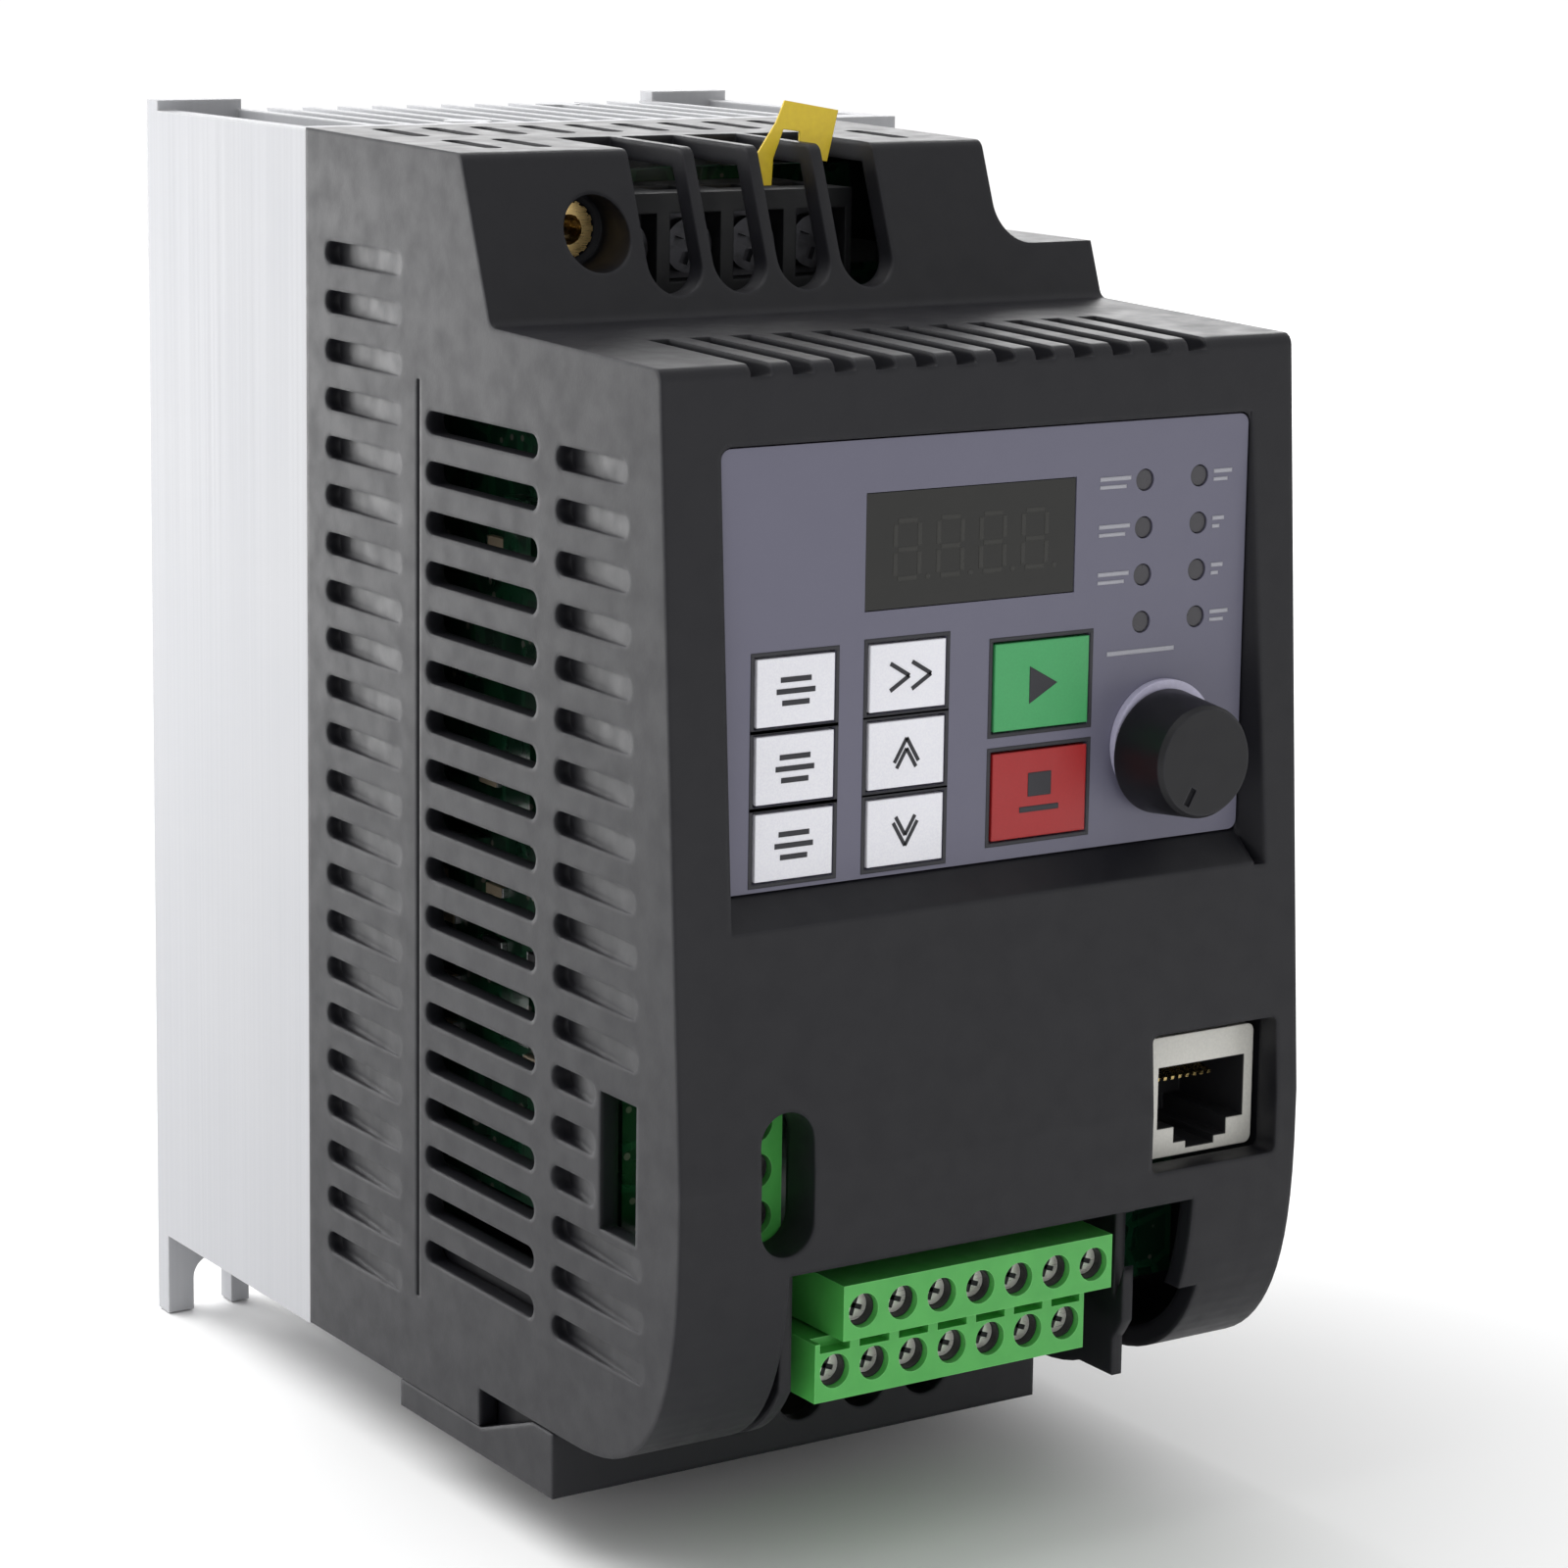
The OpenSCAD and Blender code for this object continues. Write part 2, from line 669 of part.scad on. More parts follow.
module main_cover() {
    bosses = 10;
    floor_x = [base_right + 0.4, half_w];
    opening_x = [panel_x[0] - 0.2, panel_x[1] + 0.2];
    color("#3c3c41")
    difference() {
        union() {
            difference() {
                body_shape(0);
                body_shape(wall);
            }
            intersection() {
                body_shape(0);
                union() {
                    // Boss of the earth insert
                    bar(earth_at[0], earth_at[1], 4.6, earth_d[0] - 0.4, slant_foot[0]);
                    // Frame behind the keypad
                    difference() {
                        block([panel_x[0] - 2, panel_x[1] + 2.2], [115.8, 122], [panel_z[0] - 5, 48.5]);
                        block(panel_x, [115, 123], [panel_z[0] - 0.2, 60]);
                    }
                    // Sleeve round the data socket
                    block([18.6, half_w - 1], [119.6, 124], [socket_z[0] - 1.6, socket_z[1] + 3]);
                    // Sleeve of the relay screws
                    slab(117.4, 124) translate([relay_slot_x, relay_z]) rotate(90) stadium(17.6, 9);
                    // Left rib beside the control terminals, and the web of the right one
                    block([-25.2, -23.8], rib_d, [-57, window_top + 1.5]);
                    block(right_rib_x, rib_d, [window_top - 1.5, window_top + 1.5]);
                    // Floor to the right of the terminal housing
                    block(floor_x, [base_back - 2, lip_back_d], [back_bottom_z, back_bottom_z + wall]);
                    block(floor_x, [lip_back_d - wall, lip_back_d], [back_bottom_z, front_bottom_z + wall]);
                    block(floor_x, [lip_back_d - wall, base_front + 3], [front_bottom_z, front_bottom_z + wall]);
                }
            }
            // Right rib, whose foot stands out below the curved front
            block(right_rib_x, [rib_d[0], 117.6], [-59, window_top]);
            // Bosses of the cover screws
            for (p = boss_at) bar(p[0], p[1], 3.2, sink_d, sink_d + bosses);
        }
        // Top: four screw slots and the vents
        for (x = supply_x) {
            block(around(x, supply_slot_r), [62, slot_reach], [61.8, 80]);
            bar(x, 61.8, supply_slot_r, 62, slot_reach);
        }
        plate(60, 80) {
            for (i = [0:8]) translate([-33 + 6.2 * i, 51]) rotate(90) stadium(11, 2.2);
            for (x = [-33, -26.8, 20]) translate([x, 67]) rotate(90) stadium(11, 2.2);
        }
        // Earth insert
        bar(earth_at[0], earth_at[1], 4.1, earth_d[1], slot_reach);
        bar(earth_at[0], earth_at[1], earth_r + 0.35, 60, 80);
        // Shelf slots, each notching the top edge of the front
        for (i = [0:11]) {
            x = -28.2 + 5.03 * i;
            block([x - 1.3, x + 1.3], [98, shelf_front[0] - 3], [50, 60]);
            across(2.6, x)
                polygon([[112, 60], [112, 52.4], [shelf_front[0] + 1, 54.1], [shelf_front[0] + 1, 60]]);
        }
        // Side vents
        for (side = [-1, 1]) {
            short_rows = side < 0 ? [12, 13, 14] : [];
            pocket_column(side, 47.7, [63.1, 63.1], 62.3, rear_vents, [], 0);
            pocket_column(side, 99, [110.6, 115.3], 45.4, main_vents, short_rows, 105.3);
            through_slots(side);
            // Groove behind the middle column
            block(around(side * half_w, 0.4), [67.6, 68.3], [-54, 49]);
        }
        // Keypad opening with its sloping lower ledge and right-hand cheek
        slab(114, beyond) soft_square(opening_x, [panel_z[0] - 0.2, panel_z[1] + 0.2], 1.3);
        across(opening_x[1] - opening_x[0], (opening_x[0] + opening_x[1]) / 2)
            polygon([
                [panel_front - 0.2, 5], [panel_front - 0.2, panel_z[0] - 0.2], [122, -2.6],
                [beyond, -9], [beyond, 5]]);
        plate(-2.4, panel_z[1] + 0.2)
            polygon([
                [panel_x[1], panel_front], [opening_x[1], panel_front], [36.2, 122],
                [36.2, beyond], [panel_x[1], beyond]]);
        // Data socket window
        slab(118, beyond) soft_square([20.1, socket_x[1] + 0.3], [socket_z[0] - 0.2, socket_z[1] + 1.5], 0.8);
        // Relay terminal: screw slot in front, wire window on the left
        slab(110, beyond) translate([relay_slot_x, relay_z]) rotate(90) stadium(15.3, 6.6);
        block([-half_w - over, -half_w + wall + over], [107.3, 114.5], [-35.4, -20.6]);
        // Control terminal opening, open downwards, with a step in its right-hand edge
        block([-23.8, right_rib_x[0]], [base_front + 0.4, beyond], [-70, window_top]);
        block([-26.5, -25.2], [base_front + 0.4, beyond], [-70, window_top]);
        block([-26.5, right_rib_x[1] + 1], [119.2, beyond], [-70, window_top]);
        block([right_rib_x[1], 26.2], [base_front + 0.4, beyond], [-70, window_top]);
        block([right_rib_x[1], 28.7], [base_front + 0.4, beyond], [-70, -49.3]);
        // Pilot holes of the cover screws
        for (p = boss_at) bar(p[0], p[1], 1.3, sink_d - over, sink_d + bosses - 1.5);
    }
}

module cover_screws() {
    color("silver")
    for (p = boss_at)
        difference() {
            union() {
                bar(p[0], p[1], 2.6, sink_d - sink_base - 1.8, sink_d - sink_base);
                bar(p[0], p[1], 1.25, sink_d - sink_base, sink_d + 8);
            }
            translate([p[0], -(sink_d - sink_base - 1.8), p[1]])
                for (turn = [0, 90]) rotate([0, turn, 0]) cube([3.6, 1.8, 0.8], center = true);
        }
}

module earth_insert() {
    knurls = 16;
    color("gold")
    difference() {
        union() {
            bar(earth_at[0], earth_at[1], earth_r, earth_d[0], earth_d[1]);
            // Two knurled bands
            for (d = [earth_d[0] + 0.4, earth_d[1] - 3.1], i = [0:knurls - 1])
                translate([earth_at[0], -d, earth_at[1]])
                    rotate([90, i * 360 / knurls, 0])
                        translate([earth_r - 0.4, -0.3, 0]) cube([0.65, 0.6, 2.9]);
        }
        // Core of an M4 thread
        bar(earth_at[0], earth_at[1], 1.65, earth_d[0] - over, earth_d[1] + over);
    }
}

// ---------------------------------------------------------------- control electronics

module board_carrier() {
    color("black")
    union() {
        slab(100.4, 102)
            difference() {
                translate([-36.5, -55]) square([73, 104]);
                translate([-22, -8]) square([48, 46]);
                translate([-24, -46]) square([50, 28]);
            }
        // Posts under the control board and under the keypad board
        for (x = [-33, 33], z = [-50, -5]) bar(x, z, 2, 102, control_d);
        for (x = [-30, 31.5], z = [3, 44]) bar(x, z, 2, 102, keypad_d);
    }
}

module control_board() {
    color("seagreen")
        block([-36.5, 36.5], [control_d, control_front], [-53, -1]);
    color("black") {
        block([-12, 2], [control_front, control_front + 1.6], [-24, -10]);
        block([8, 16], [control_front, control_front + 1.6], [-20, -12]);
    }
}

// Where the power board's cable meets the control board
module link_header() {
    color("white")
        block([-20, 6], [control_d - 6, control_d], [-38, -32]);
}

// One row of small screw terminals: 'at' is its left end, middle height and front depth
module small_terminal_row(at, height, entry) {
    length = small_poles * small_pitch;
    difference() {
        block([at[0], at[0] + length], [control_front, at[2]], [at[1] - height / 2, at[1] + height / 2]);
        for (i = [0:small_poles - 1]) {
            x = at[0] + small_pitch * (i + 0.5);
            bar(x, at[1], 1.85, at[2] - 4.5, at[2] + over);
            block([x - 1.5, x + 1.5], [control_front + 3, control_front + 6.2],
                entry > 0 ? [at[1], at[1] + height] : [at[1] - height, at[1]]);
        }
    }
}

module control_terminal_upper() {
    color("limegreen") small_terminal_row(upper_row, 6, 1);
}

module control_terminal_lower() {
    color("limegreen")
    difference() {
        small_terminal_row(lower_row, 6.4, -1);
        // Dark joints between the two rows
        for (i = [0:small_poles - 1])
            block(around(lower_row[0] + small_pitch * (i + 0.5), 1.9),
                [lower_row[2] - 2, lower_row[2] + over], around(lower_row[1] + 2.9, 0.75));
    }
}

module control_terminal_screws() {
    color("silver")
    for (row = [upper_row, lower_row], i = [0:small_poles - 1])
        screw(row[0] + small_pitch * (i + 0.5), row[1], 1.6, 1.2, 1.2, row[2] - 4.2, row[2] - 3.1);
}

module relay_terminal_block() {
    color("limegreen")
    difference() {
        block([relay_x - 7.4, relay_x + 3.1], [control_front, relay_front], [relay_z - 8, relay_z + 8]);
        for (i = [-1:1]) {
            z = relay_z + small_pitch * i;
            bar(relay_x, z, 1.9, relay_front - 4.5, relay_front + over);
            block([relay_x - 8, relay_x - 2], [control_front + 2.5, control_front + 6.2], around(z, 1.6));
        }
    }
}

module relay_terminal_screws() {
    color("silver")
    for (i = [-1:1])
        screw(relay_x, relay_z + small_pitch * i, 1.6, 1.2, 1.2, relay_front - 4.2, relay_front - 3.1);
}

module rj45_socket() {
    color("ivory")
    difference() {
        slab(control_front, socket_front) soft_square(socket_x, socket_z, 0.9);
        // Plug cavity and the stepped latch notch below it
        block(around(plug_x, 6), [control_front + 1.5, socket_front + over], [-31.4, -24.4]);
        block(around(plug_x, 3.7), [control_front + 1.5, socket_front + over], [-33.2, -31]);
        block(around(plug_x, 2), [control_front + 1.5, socket_front + over], [-34, -33]);
    }
}

module rj45_contacts() {
    color("gold")
    for (i = [0:7])
        translate([plug_x + 1.02 * (i - 3.5), -control_front - 1.6, -24.5])
            rotate([14, 0, 0])
                translate([-0.2, -8.5, -0.5]) cube([0.4, 8.5, 0.4]);
}

// ---------------------------------------------------------------- keypad

module keypad_board() {
    color("seagreen")
        block([-32.5, 33.7], [keypad_d, keypad_front], [1.5, 46.3]);
}

module key_hole(at, size) {
    slab(panel_front - panel_t - over, panel_front + over)
        translate(at) square([size[0] + 2 * key_gap, size[1] + 2 * key_gap], center = true);
}

module keypad_panel() {
    color("#69687a")
    difference() {
        slab(panel_front - panel_t, panel_front) soft_square(panel_x, panel_z, 1.1);
        for (k = keys) key_hole(k[0], k[1]);
        // Display opening, stepped so that the window sits level
        block([display_x[0] - 0.1, display_x[1] + 0.1], [panel_front - 1.2, panel_front + over],
            [display_z[0] - 0.1, display_z[1] + 0.1]);
        block([display_x[0] + 1, display_x[1] - 1], [panel_front - panel_t - over, panel_front],
            [display_z[0] + 1, display_z[1] - 1]);
        for (x = led_x, z = led_z) bar(x, z, led_r + 0.1, panel_front - panel_t - over, panel_front + over);
        bar(knob_x, knob_z, 3.7, panel_front - panel_t - over, panel_front + over);
    }
}

module display_module() {
    color("black")
        block([display_x[0] + 0.5, display_x[1] - 0.5], [keypad_front, panel_front - panel_t - 0.1],
            [display_z[0] + 0.3, display_z[1] - 0.3]);
}

module display_window() {
    color([0.15, 0.14, 0.14, 0.9])
        block(display_x, [panel_front - 1.1, panel_front - 0.1], display_z);
}

module indicator_leds() {
    color("gray")
    for (x = led_x, z = led_z) {
        bar(x, z, led_r, keypad_front, panel_front - 0.2);
        bar(x, z, led_r + 0.5, keypad_front, keypad_front + 1.2);
    }
}

module key_switches() {
    color("black")
    for (k = keys)
        difference() {
            block(around(k[0][0], 3), [keypad_front, switch_front], around(k[0][1], 3));
            bar(k[0][0], k[0][1], switch_bore_r, switch_floor, switch_front + over);
        }
}

// A sprung key: cap, a flange behind the panel and a stem in the switch
module key_cap(at, size) {
    flange_d = panel_front - panel_t - 0.3;
    union() {
        slab(flange_d - over, panel_front + key_rise) translate(at) square(size, center = true);
        slab(flange_d - 0.8, flange_d)
            translate(at) square([size[0] + 0.7, min(size[1] + 0.7, 10)], center = true);
        bar(at[0], at[1], switch_bore_r - 0.08, switch_floor + key_travel + 0.5, flange_d);
    }
}

module menu_key() { color("white") key_cap(menu_at, white_key); }
module enter_key() { color("white") key_cap(enter_at, white_key); }
module reverse_key() { color("white") key_cap(reverse_at, white_key); }
module shift_key() { color("white") key_cap(shift_at, white_key); }
module up_key() { color("white") key_cap(up_at, white_key); }
module down_key() { color("white") key_cap(down_at, white_key); }
module run_key() { color("mediumseagreen") key_cap(run_at, command_key); }
module stop_key() { color("crimson") key_cap(stop_at, command_key); }

module potentiometer() {
    color("silver")
    difference() {
        union() {
            bar(knob_x, knob_z, 8, keypad_front, keypad_front + 5.5);
            bar(knob_x, knob_z, 3.5, keypad_front + 5.5, panel_front + collar_t);
        }
        bar(knob_x, knob_z, shaft_r + 0.05, keypad_front + 1.5, panel_front + 5);
    }
}

// Its ring stands off the knob's axis, up and to the right
module knob_collar() {
    color("lavender")
    difference() {
        bar(knob_x + 0.3, knob_z + 1, collar_r, panel_front, panel_front + collar_t);
        bar(knob_x, knob_z, 3.6, panel_front - over, panel_front + 5);
    }
}

module knob_shaft() {
    color("silver")
        bar(knob_x, knob_z, shaft_r, keypad_front + 2, panel_front + collar_t + knob_h - 2);
}

module speed_knob() {
    base_d = panel_front + collar_t + 0.4;
    front_d = base_d + knob_h;
    knob_flare = 0.7;
    knob_edge = 0.6;
    color("#1e1e20")
    difference() {
        union() {
            translate([knob_x, -base_d, knob_z])
                rotate([90, 0, 0]) cylinder(r1 = knob_r + knob_flare, r2 = knob_r, h = knob_h - knob_edge);
            translate([knob_x, -front_d + knob_edge, knob_z])
                rotate([90, 0, 0]) cylinder(r1 = knob_r, r2 = knob_r - 0.4, h = knob_edge);
        }
        bar(knob_x, knob_z, shaft_r + 0.02, base_d - over, front_d - 2);
        // Pointer groove, at the fully anticlockwise end of its turn
        translate([knob_x, -front_d, knob_z])
            rotate([0, 30, 0]) translate([0, 0, -4.1]) cube([0.8, 0.8, 2], center = true);
    }
}

// ---------------------------------------------------------------- tag

// Laid over the third and fourth supply slots, round the bar between them
module blank_tag() {
    color("gold")
    slab(supply_front, supply_front + 0.3)
        polygon([
            [0.2, 69], [1.9, 69], [2.1, 72], [3.4, 75.2], [5.6, 74.9], [5.6, 72],
            [9.3, 71.5], [10.7, 77.2], [3.6, 78.4], [2.5, 76], [0, 72.5]]);
}

// ---------------------------------------------------------------- assembly

heatsink();
thermal_pad();
power_module();
module_screws();
board_standoffs();
power_board();
board_screws();
bus_capacitors();
transformer();
inrush_relay();
supply_terminal_block();
supply_terminal_screws();
motor_terminal_block();
motor_terminal_screws();
terminal_base();
main_cover();
cover_screws();
earth_insert();
driver_board();
board_carrier();
control_board();
link_header();
control_terminal_upper();
control_terminal_lower();
control_terminal_screws();
relay_terminal_block();
relay_terminal_screws();
rj45_socket();
rj45_contacts();
keypad_board();
keypad_panel();
display_module();
display_window();
indicator_leds();
key_switches();
menu_key();
enter_key();
reverse_key();
shift_key();
up_key();
down_key();
run_key();
stop_key();
potentiometer();
knob_shaft();
speed_knob();
knob_collar();
fan_frame();
fan_rotor();
fan_guard();
fan_screws();
blank_tag();
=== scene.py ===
"""The looks of a variable frequency drive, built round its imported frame."""

import json
import math
import random

import bmesh
import bpy
from mathutils import Matrix, Vector


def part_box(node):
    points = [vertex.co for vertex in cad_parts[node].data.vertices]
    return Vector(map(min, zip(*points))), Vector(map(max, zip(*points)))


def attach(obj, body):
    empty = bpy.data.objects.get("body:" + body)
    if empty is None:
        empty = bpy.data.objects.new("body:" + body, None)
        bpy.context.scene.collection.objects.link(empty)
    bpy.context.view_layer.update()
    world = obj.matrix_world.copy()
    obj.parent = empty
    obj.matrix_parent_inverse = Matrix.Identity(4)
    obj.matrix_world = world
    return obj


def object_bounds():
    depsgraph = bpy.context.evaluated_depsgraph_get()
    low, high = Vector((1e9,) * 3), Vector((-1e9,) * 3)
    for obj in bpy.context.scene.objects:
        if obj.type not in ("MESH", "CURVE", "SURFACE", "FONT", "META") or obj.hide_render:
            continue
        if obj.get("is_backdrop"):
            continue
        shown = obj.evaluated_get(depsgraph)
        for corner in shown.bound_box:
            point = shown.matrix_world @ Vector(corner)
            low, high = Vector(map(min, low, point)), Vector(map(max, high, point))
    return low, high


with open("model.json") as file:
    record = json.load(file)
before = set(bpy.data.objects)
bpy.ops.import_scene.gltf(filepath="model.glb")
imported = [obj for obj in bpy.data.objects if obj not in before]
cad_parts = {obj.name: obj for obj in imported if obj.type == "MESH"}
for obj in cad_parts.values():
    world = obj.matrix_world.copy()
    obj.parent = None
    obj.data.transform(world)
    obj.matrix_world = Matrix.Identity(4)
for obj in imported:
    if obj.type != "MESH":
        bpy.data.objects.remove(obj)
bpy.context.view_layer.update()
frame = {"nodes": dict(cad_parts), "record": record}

MM = 0.001
INK = 0.05  # how far a printed mark stands off its surface, in millimetres
KEYS = ("menu", "enter", "reverse", "shift", "up", "down", "run", "stop")


# ---------------------------------------------------------------- materials

class Surface:
    """A material whose colour, roughness and relief come from layers in the object's own space."""

    def __init__(self, name, colour, roughness, metallic=0.0, coat=0.0, specular=0.5):
        self.material = bpy.data.materials.new(name)
        self.material.use_nodes = True
        self.material.diffuse_color = (*colour, 1.0)
        self.tree = self.material.node_tree
        self.shader = self.tree.nodes["Principled BSDF"]
        self.colour = colour
        self.relief = None
        self.set("Base Color", (*colour, 1.0))
        self.set("Roughness", roughness)
        self.set("Metallic", metallic)
        self.set("Coat Weight", coat)
        self.set("Coat Roughness", 0.12)
        self.set("Specular IOR Level", specular)
        self.place = self.node("ShaderNodeTexCoord").outputs["Object"]

    def set(self, socket, value):
        self.shader.inputs[socket].default_value = value

    def node(self, kind, **values):
        made = self.tree.nodes.new(kind)
        for key, value in values.items():
            setattr(made, key, value)
        return made

    def link(self, source, target):
        self.tree.links.new(source, target)

    def scaled(self, stretch):
        """The place, with each axis stretched: a large number makes the pattern long that way."""
        mapping = self.node("ShaderNodeMapping")
        mapping.inputs["Scale"].default_value = [1 / s for s in stretch]
        self.link(self.place, mapping.inputs["Vector"])
        return mapping.outputs["Vector"]

    def noise(self, size_mm, detail=2.0, stretch=(1, 1, 1)):
        """A cloud whose blobs are about size_mm across."""
        made = self.node("ShaderNodeTexNoise")
        made.inputs["Scale"].default_value = 1 / (size_mm * MM)
        made.inputs["Detail"].default_value = detail
        self.link(self.scaled(stretch), made.inputs["Vector"])
        return made.outputs["Fac"]

    def cells(self, size_mm):
        """Distance from the middle of cells about size_mm across."""
        made = self.node("ShaderNodeTexVoronoi")
        made.inputs["Scale"].default_value = 1 / (size_mm * MM)
        self.link(self.place, made.inputs["Vector"])
        return made.outputs["Distance"]

    def fit(self, value, low, high, out_low=0.0, out_high=1.0):
        """Maps low to high onto out_low to out_high, and clamps what lies beyond."""
        made = self.node("ShaderNodeMapRange")
        limits = {"From Min": low, "From Max": high, "To Min": out_low, "To Max": out_high}
        for socket, number in limits.items():
            made.inputs[socket].default_value = number
        self.link(value, made.inputs["Value"])
        return made.outputs["Result"]

    def edges(self, radius_mm):
        """1 on sharp edges, 0 on flat ground."""
        bevel = self.node("ShaderNodeBevel", samples=4)
        bevel.inputs["Radius"].default_value = radius_mm * MM
        flat = self.node("ShaderNodeNewGeometry").outputs["Normal"]
        dot = self.node("ShaderNodeVectorMath", operation="DOT_PRODUCT")
        self.link(bevel.outputs["Normal"], dot.inputs[0])
        self.link(flat, dot.inputs[1])
        return self.fit(dot.outputs["Value"], 0.98, 0.80)

    def mixed(self, mask, first, second):
        """first where the mask is 0 and second where it is 1; each is a colour or a socket."""
        made = self.node("ShaderNodeMix", data_type="RGBA")
        self.link(mask, made.inputs["Factor"])
        for socket, colour in (("A", first), ("B", second)):
            target = [i for i in made.inputs if i.name == socket and i.type == "RGBA"][0]
            if isinstance(colour, bpy.types.NodeSocket):
                self.link(colour, target)
            else:
                target.default_value = (*colour, 1.0)
        return [o for o in made.outputs if o.type == "RGBA"][0]

    def tint(self, mask, other):
        """Blends the colour so far towards another one where the mask is 1."""
        shown = self.shader.inputs["Base Color"]
        so_far = shown.links[0].from_socket if shown.links else self.colour
        self.link(self.mixed(mask, so_far, other), shown)
        return self

    def rough(self, mask, low, high):
        """Lets the roughness follow the mask, from low to high."""
        self.link(self.fit(mask, 0.3, 0.7, low, high), self.shader.inputs["Roughness"])
        return self

    def soften(self, radius_mm):
        """Shades sharp edges as if they were rounded; to be called before any bump."""
        bevel = self.node("ShaderNodeBevel", samples=4)
        bevel.inputs["Radius"].default_value = radius_mm * MM
        self.relief = bevel.outputs["Normal"]
        self.link(self.relief, self.shader.inputs["Normal"])
        return self

    def bump(self, height, depth_mm, strength=1.0):
        """Adds relief to what is there already."""
        made = self.node("ShaderNodeBump")
        made.inputs["Distance"].default_value = depth_mm * MM
        made.inputs["Strength"].default_value = strength
        self.link(height, made.inputs["Height"])
        if self.relief:
            self.link(self.relief, made.inputs["Normal"])
        self.relief = made.outputs["Normal"]
        self.link(self.relief, self.shader.inputs["Normal"])
        return self


def lighter(colour, factor):
    return tuple(min(1.0, c * factor) for c in colour)


def moulded(name, colour, roughness, grain_mm=0.35, depth_mm=0.012, edge_wear_and_highlight=1.5, soft_mm=0.25, **settings):
    """Injection-moulded plastic: a fine even grain, slow unevenness, and edges painted lighter, partly as
    rubbed wear and partly as a painted highlight.
    """
    made = Surface(name, colour, roughness, **settings)
    grain = made.noise(grain_mm, detail=3)
    slow = made.noise(22, detail=2)
    made.tint(made.fit(slow, 0.35, 0.65, 0.0, 0.5), lighter(colour, 0.86))
    made.tint(made.fit(grain, 0.35, 0.75, 0.0, 0.35), lighter(colour, 1.25))
    # Edges painted lighter: partly rubbed wear, partly a painted highlight.
    made.tint(made.edges(0.35), lighter(colour, edge_wear_and_highlight))
    made.rough(made.noise(3, detail=3), roughness - 0.05, roughness + 0.06)
    made.soften(soft_mm)
    made.bump(grain, depth_mm, 0.6)
    return made


def heatsink_aluminium():
    """Blasted extrusion: die lines run along it, with a fine matt grain over them."""
    colour = (0.45, 0.455, 0.475)
    made = Surface("heatsink_aluminium", colour, 0.58, metallic=0.15, specular=0.3)
    die_lines = made.noise(0.5, detail=3, stretch=(1, 1, 260))
    grain = made.noise(0.22, detail=2)
    made.tint(made.fit(die_lines, 0.4, 0.7, 0.0, 0.35), (0.41, 0.415, 0.435))
    made.tint(made.fit(made.noise(30), 0.4, 0.7, 0.0, 0.3), (0.49, 0.49, 0.50))
    made.tint(made.edges(0.4), (0.62, 0.62, 0.63))
    made.soften(0.3)
    made.rough(die_lines, 0.52, 0.64)
    made.bump(die_lines, 0.01, 0.5)
    made.bump(grain, 0.008, 0.5)
    return made


def cover_plastic():
    # Edges painted much lighter: partly rubbed wear, partly a painted highlight.
    return moulded("cover_plastic", (0.0080, 0.0080, 0.0110), 0.48, grain_mm=0.3, depth_mm=0.014, edge_wear_and_highlight=2.6,
                   soft_mm=0.8, specular=0.36)


def turned_metal(name, colour, roughness, tarnish, scratch_mm=0.12, metallic=1.0):
    """Machined or plated metal with fine scratches and a little tarnish in the hollows."""
    made = Surface(name, colour, roughness, metallic=metallic)
    scratches = made.noise(scratch_mm, detail=4, stretch=(12, 1, 1))
    stain = made.noise(1.6, detail=4)
    made.tint(made.fit(stain, 0.45, 0.75, 0.0, 0.6), tarnish)
    made.tint(made.edges(0.15), lighter(colour, 1.2))
    made.rough(scratches, roughness - 0.06, roughness + 0.12)
    made.bump(scratches, 0.004, 0.5)
    return made


def board_green():
    """Solder resist over copper tracks, with tinned pads."""
    resist = (0.004, 0.030, 0.014)
    made = Surface("board_green", resist, 0.30, coat=0.3)
    tracks = made.node("ShaderNodeTexVoronoi", feature="DISTANCE_TO_EDGE")
    tracks.inputs["Scale"].default_value = 1 / (4.5 * MM)
    tracks.inputs["Randomness"].default_value = 0.6
    made.link(made.place, tracks.inputs["Vector"])
    line = made.fit(tracks.outputs["Distance"], 0.10, 0.07)
    made.tint(line, (0.008, 0.060, 0.026))
    pads = made.fit(made.cells(2.6), 0.17, 0.14)
    made.tint(pads, (0.16, 0.15, 0.13))
    made.rough(made.noise(5), 0.24, 0.38)
    made.bump(line, 0.03, 0.6)
    made.bump(made.noise(0.5), 0.006, 0.4)
    return made


def panel_grey():
    """Printed polyester film with its satin emboss."""
    colour = (0.128, 0.125, 0.176)
    made = Surface("panel_grey", colour, 0.42)
    emboss = made.cells(0.16)
    made.tint(made.fit(made.noise(14), 0.35, 0.7, 0.0, 0.4), lighter(colour, 0.93))
    made.tint(made.fit(emboss, 0.1, 0.5, 0.0, 0.3), lighter(colour, 1.12))
    made.rough(made.noise(2.5, detail=3), 0.38, 0.48)
    made.bump(emboss, 0.006, 0.35)
    return made


def display_window():
    colour = (0.010, 0.010, 0.0085)
    made = Surface("display_window", colour, 0.22, specular=0.40)
    made.tint(made.fit(made.noise(4), 0.4, 0.7, 0.0, 0.4), (0.014, 0.0135, 0.011))
    made.rough(made.noise(1.2, detail=4), 0.13, 0.22)
    made.bump(made.noise(0.6), 0.002, 0.3)
    return made


def key_cap(name, colour):
    return moulded(name, colour, 0.40, grain_mm=0.22, depth_mm=0.006, edge_wear_and_highlight=1.06)


